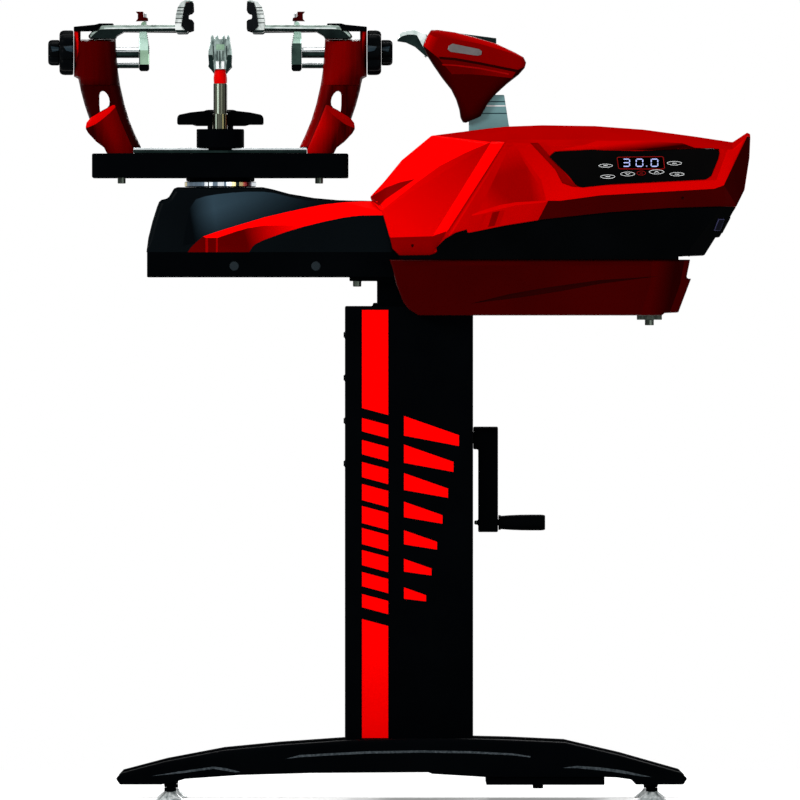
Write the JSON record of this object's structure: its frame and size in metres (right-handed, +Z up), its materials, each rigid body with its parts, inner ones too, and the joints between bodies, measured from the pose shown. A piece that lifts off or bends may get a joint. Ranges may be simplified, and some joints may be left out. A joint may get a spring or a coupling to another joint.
{
  "type": "racket stringing machine",
  "caption": "Free-standing racket stringing machine: turntable with racket towers and string clamps, motor-driven tension head, and a column cranked up and down on an H-shaped base.",
  "frame": {"origin": "on the floor, under the middle of the machine", "axes": "+Z up, +X from the turntable towards the tension head, the control panel faces -Y"},
  "size_m": [1.096, 0.52, 1.2495],
  "materials": {
    "black_steel": "satin black powder coat",
    "black_alloy": "black anodised",
    "black_plastic": "fine grained black plastic",
    "gloss_black": "gloss black panel",
    "red_plastic": "gloss red",
    "dark_red_plastic": "gloss dark red",
    "red_alloy": "red painted casting",
    "steel": "brushed",
    "polished": "polished",
    "grey_alloy": "grey-blue painted casting",
    "brass_grey": "warm grey plated",
    "board": "green circuit board"
  },
  "bodies": {
    "stand": {"base_frame": "black_steel", "ballast_plate": "black_steel", "column_shell": "black_steel"},
    "head": {"lift_tube": "black_steel", "chassis": "black_steel", "front_cover": "black_plastic", "main_cover": "red_plastic", "lower_cover": "black_plastic", "lower_housing": "dark_red_plastic", "control_panel": "gloss_black", "guide_rail": "steel", "drive_motor": "black_alloy", "control_board": "board", "power_inlet": "black_plastic"},
    "crank": {"crank_arm": "black_steel"},
    "grip": {"crank_grip": "black_plastic"},
    "jack_screw": {"jack_screw": "steel"},
    "turntable": {"turntable_bar": "black_alloy", "clamp_rails": "steel", "spindle": "polished"},
    "carriage": {"carriage_post": "grey_alloy", "head_cover": "red_plastic"},
    "drive_screw": {"drive_screw": "steel"},
    "string_jaw": {"string_jaw": "steel"},
    "power_switch": {"power_switch": "gloss_black"},
    "foot_front_left": {"foot_front_left": "steel"},
    "foot_front_right": {"foot_front_right": "steel"},
    "foot_rear_left": {"foot_rear_left": "steel"},
    "foot_rear_right": {"foot_rear_right": "steel"},
    "key_down": {"key_down": "gloss_black"},
    "key_set": {"key_set": "gloss_black"},
    "key_up": {"key_up": "gloss_black"},
    "key_speed": {"key_speed": "gloss_black"},
    "key_memory": {"key_memory": "gloss_black"},
    "key_unit": {"key_unit": "gloss_black"},
    "key_count": {"key_count": "gloss_black"},
    "left_tower": {"left_tower": "red_alloy"},
    "left_arm_knob": {"left_arm_knob": "black_plastic"},
    "left_support_knob": {"left_support_knob": "black_plastic"},
    "left_support": {"left_support": "steel"},
    "left_v_support": {"left_v_support": "red_plastic"},
    "left_arm_front": {"left_arm_front": "polished"},
    "left_arm_rear": {"left_arm_rear": "polished"},
    "right_tower": {"right_tower": "red_alloy"},
    "right_arm_knob": {"right_arm_knob": "black_plastic"},
    "right_support_knob": {"right_support_knob": "black_plastic"},
    "right_support": {"right_support": "steel"},
    "right_v_support": {"right_v_support": "red_plastic"},
    "right_arm_front": {"right_arm_front": "polished"},
    "right_arm_rear": {"right_arm_rear": "polished"},
    "front_clamp_base": {"front_clamp_base": "black_alloy"},
    "front_clamp_post": {"front_clamp_post": "brass_grey"},
    "front_lock_handle": {"front_lock_handle": "black_plastic"},
    "front_clamp_head": {"front_clamp_head": "steel"},
    "front_clamp_jaw": {"front_clamp_jaw": "steel"},
    "rear_clamp_base": {"rear_clamp_base": "black_alloy"},
    "rear_clamp_post": {"rear_clamp_post": "brass_grey"},
    "rear_lock_handle": {"rear_lock_handle": "black_plastic"},
    "rear_clamp_head": {"rear_clamp_head": "steel"},
    "rear_clamp_jaw": {"rear_clamp_jaw": "steel"}
  },
  "joints": [
    {"name": "crank_turn", "type": "hinge", "parent": "stand", "child": "crank", "pos_m": [0.0156, 0, 0.5647], "axis": [1, 0, 0], "range_deg": [0, 6480]},
    {"name": "column_lift", "type": "slide", "parent": "stand", "child": "head", "axis": [0, 0, 1], "range_m": [0, 0.18]},
    {"name": "jack_screw_turn", "type": "hinge", "parent": "stand", "child": "jack_screw", "pos_m": [0.0156, 0, 0.5647], "axis": [0, 0, 1], "range_deg": [-6481, 0]},
    {"name": "turntable_spin", "type": "hinge", "parent": "head", "child": "turntable", "pos_m": [-0.279, 0, 0.96], "axis": [0, 0, 1], "continuous": true},
    {"name": "carriage_slide", "type": "slide", "parent": "head", "child": "carriage", "axis": [1, 0, 0], "range_m": [0, 0.16]},
    {"name": "drive_screw_turn", "type": "hinge", "parent": "head", "child": "drive_screw", "pos_m": [0.07, 0, 0.905], "axis": [1, 0, 0], "range_deg": [0, 5761]},
    {"name": "left_arm_knob_turn", "type": "hinge", "parent": "left_tower", "child": "left_arm_knob", "pos_m": [-0.519, 0, 1.1664], "axis": [1, 0, 0], "range_deg": [-600, 240]},
    {"name": "left_arm_front_swing", "type": "hinge", "parent": "left_tower", "child": "left_arm_front", "pos_m": [-0.4739, -0.013, 1.19], "axis": [0, 0, 1], "range_deg": [-10, 4]},
    {"name": "left_arm_rear_swing", "type": "hinge", "parent": "left_tower", "child": "left_arm_rear", "pos_m": [-0.4739, 0.013, 1.19], "axis": [0, 0, 1], "range_deg": [-4, 10]},
    {"name": "left_support_slide", "type": "slide", "parent": "left_tower", "child": "left_support", "axis": [1, 0, 0], "range_m": [-0.012, 0.012]},
    {"name": "left_support_knob_turn", "type": "hinge", "parent": "left_tower", "child": "left_support_knob", "pos_m": [-0.539, 0, 1.1664], "axis": [1, 0, 0], "range_deg": [-721, 721]},
    {"name": "left_tower_slide", "type": "slide", "parent": "turntable", "child": "left_tower", "axis": [1, 0, 0], "range_m": [-0.005, 0.02]},
    {"name": "left_v_support_turn", "type": "hinge", "parent": "left_support", "child": "left_v_support", "pos_m": [-0.396, 0, 1.22], "axis": [0, 0, 1], "range_deg": [-20, 20]},
    {"name": "right_arm_knob_turn", "type": "hinge", "parent": "right_tower", "child": "right_arm_knob", "pos_m": [-0.039, 0, 1.1664], "axis": [-1, 0, 0], "range_deg": [-600, 240]},
    {"name": "right_arm_front_swing", "type": "hinge", "parent": "right_tower", "child": "right_arm_front", "pos_m": [-0.0841, -0.013, 1.19], "axis": [0, 0, 1], "range_deg": [-4, 10]},
    {"name": "right_arm_rear_swing", "type": "hinge", "parent": "right_tower", "child": "right_arm_rear", "pos_m": [-0.0841, 0.013, 1.19], "axis": [0, 0, 1], "range_deg": [-10, 4]},
    {"name": "right_support_slide", "type": "slide", "parent": "right_tower", "child": "right_support", "axis": [-1, 0, 0], "range_m": [-0.012, 0.012]},
    {"name": "right_support_knob_turn", "type": "hinge", "parent": "right_tower", "child": "right_support_knob", "pos_m": [-0.019, 0, 1.1664], "axis": [-1, 0, 0], "range_deg": [-721, 721]},
    {"name": "right_tower_slide", "type": "slide", "parent": "turntable", "child": "right_tower", "axis": [-1, 0, 0], "range_m": [-0.005, 0.02]},
    {"name": "right_v_support_turn", "type": "hinge", "parent": "right_support", "child": "right_v_support", "pos_m": [-0.162, 0, 1.22], "axis": [0, 0, 1], "range_deg": [-20, 20]},
    {"name": "front_clamp_slide", "type": "slide", "parent": "turntable", "child": "front_clamp_base", "axis": [1, 0, 0], "range_m": [-0.03, 0.03]},
    {"name": "front_lock_turn", "type": "hinge", "parent": "front_clamp_base", "child": "front_lock_handle", "pos_m": [-0.279, -0.033, 1.06], "axis": [0, 0, 1], "range_deg": [-25, 25]},
    {"name": "front_clamp_turn", "type": "hinge", "parent": "front_clamp_base", "child": "front_clamp_post", "pos_m": [-0.279, -0.066, 1.06], "axis": [0, 0, 1], "continuous": true},
    {"name": "front_clamp_lift", "type": "slide", "parent": "front_clamp_post", "child": "front_clamp_head", "axis": [0, 0, 1], "range_m": [0, 0.03]},
    {"name": "front_clamp_close", "type": "slide", "parent": "front_clamp_head", "child": "front_clamp_jaw", "axis": [0, 1, 0], "range_m": [0, 0.002]},
    {"name": "rear_clamp_slide", "type": "slide", "parent": "turntable", "child": "rear_clamp_base", "axis": [1, 0, 0], "range_m": [-0.03, 0.03]},
    {"name": "rear_lock_turn", "type": "hinge", "parent": "rear_clamp_base", "child": "rear_lock_handle", "pos_m": [-0.279, 0.033, 1.06], "axis": [0, 0, 1], "range_deg": [-25, 25]},
    {"name": "rear_clamp_turn", "type": "hinge", "parent": "rear_clamp_base", "child": "rear_clamp_post", "pos_m": [-0.279, 0.066, 1.06], "axis": [0, 0, 1], "continuous": true},
    {"name": "rear_clamp_lift", "type": "slide", "parent": "rear_clamp_post", "child": "rear_clamp_head", "axis": [0, 0, 1], "range_m": [0, 0.03]},
    {"name": "rear_clamp_close", "type": "slide", "parent": "rear_clamp_head", "child": "rear_clamp_jaw", "axis": [0, -1, 0], "range_m": [0, 0.002]},
    {"name": "string_jaw_close", "type": "slide", "parent": "carriage", "child": "string_jaw", "axis": [0, 1, 0], "range_m": [0, 0.004]},
    {"name": "crank_grip_spin", "type": "hinge", "parent": "crank", "child": "grip", "pos_m": [0.19, 0, 0.4327], "axis": [1, 0, 0], "continuous": true},
    {"name": "power_switch_rock", "type": "hinge", "parent": "head", "child": "power_switch", "pos_m": [0.49722, -0.09444, 0.89845], "axis": [0.7071, 0.7071, 0], "range_deg": [-8, 8]},
    {"name": "foot_front_left_turn", "type": "hinge", "parent": "stand", "child": "foot_front_left", "pos_m": [-0.35564, -0.23, 0.01], "axis": [0, 0, 1], "continuous": true},
    {"name": "foot_front_right_turn", "type": "hinge", "parent": "stand", "child": "foot_front_right", "pos_m": [0.39294, -0.23, 0.01], "axis": [0, 0, 1], "continuous": true},
    {"name": "foot_rear_left_turn", "type": "hinge", "parent": "stand", "child": "foot_rear_left", "pos_m": [-0.35564, 0.23, 0.01], "axis": [0, 0, 1], "continuous": true},
    {"name": "foot_rear_right_turn", "type": "hinge", "parent": "stand", "child": "foot_rear_right", "pos_m": [0.39294, 0.23, 0.01], "axis": [0, 0, 1], "continuous": true},
    {"name": "key_down_press", "type": "slide", "parent": "head", "child": "key_down", "axis": [0, 1, 0], "range_m": [0, 0.0008], "stiffness_N_per_m": 500},
    {"name": "key_set_press", "type": "slide", "parent": "head", "child": "key_set", "axis": [0, 1, 0], "range_m": [0, 0.0008], "stiffness_N_per_m": 500},
    {"name": "key_up_press", "type": "slide", "parent": "head", "child": "key_up", "axis": [0, 1, 0], "range_m": [0, 0.0008], "stiffness_N_per_m": 500},
    {"name": "key_speed_press", "type": "slide", "parent": "head", "child": "key_speed", "axis": [0, 1, 0], "range_m": [0, 0.0008], "stiffness_N_per_m": 500},
    {"name": "key_memory_press", "type": "slide", "parent": "head", "child": "key_memory", "axis": [0, 1, 0], "range_m": [0, 0.0008], "stiffness_N_per_m": 500},
    {"name": "key_unit_press", "type": "slide", "parent": "head", "child": "key_unit", "axis": [0, 1, 0], "range_m": [0, 0.0008], "stiffness_N_per_m": 500},
    {"name": "key_count_press", "type": "slide", "parent": "head", "child": "key_count", "axis": [0, 1, 0], "range_m": [0, 0.0008], "stiffness_N_per_m": 500}
  ],
  "couplings": [
    {"joint": "column_lift", "follows": "crank_turn", "m_per_rad": 0.0015915},
    {"joint": "jack_screw_turn", "follows": "crank_turn", "ratio": -1},
    {"joint": "drive_screw_turn", "follows": "carriage_slide", "rad_per_m": 628.32},
    {"joint": "left_arm_front_swing", "follows": "left_arm_knob_turn", "ratio": 0.016667},
    {"joint": "left_arm_rear_swing", "follows": "left_arm_knob_turn", "ratio": -0.016667},
    {"joint": "left_support_knob_turn", "follows": "left_support_slide", "rad_per_m": 1047.2},
    {"joint": "right_arm_front_swing", "follows": "right_arm_knob_turn", "ratio": -0.016667},
    {"joint": "right_arm_rear_swing", "follows": "right_arm_knob_turn", "ratio": 0.016667},
    {"joint": "right_support_knob_turn", "follows": "right_support_slide", "rad_per_m": 1047.2}
  ]
}
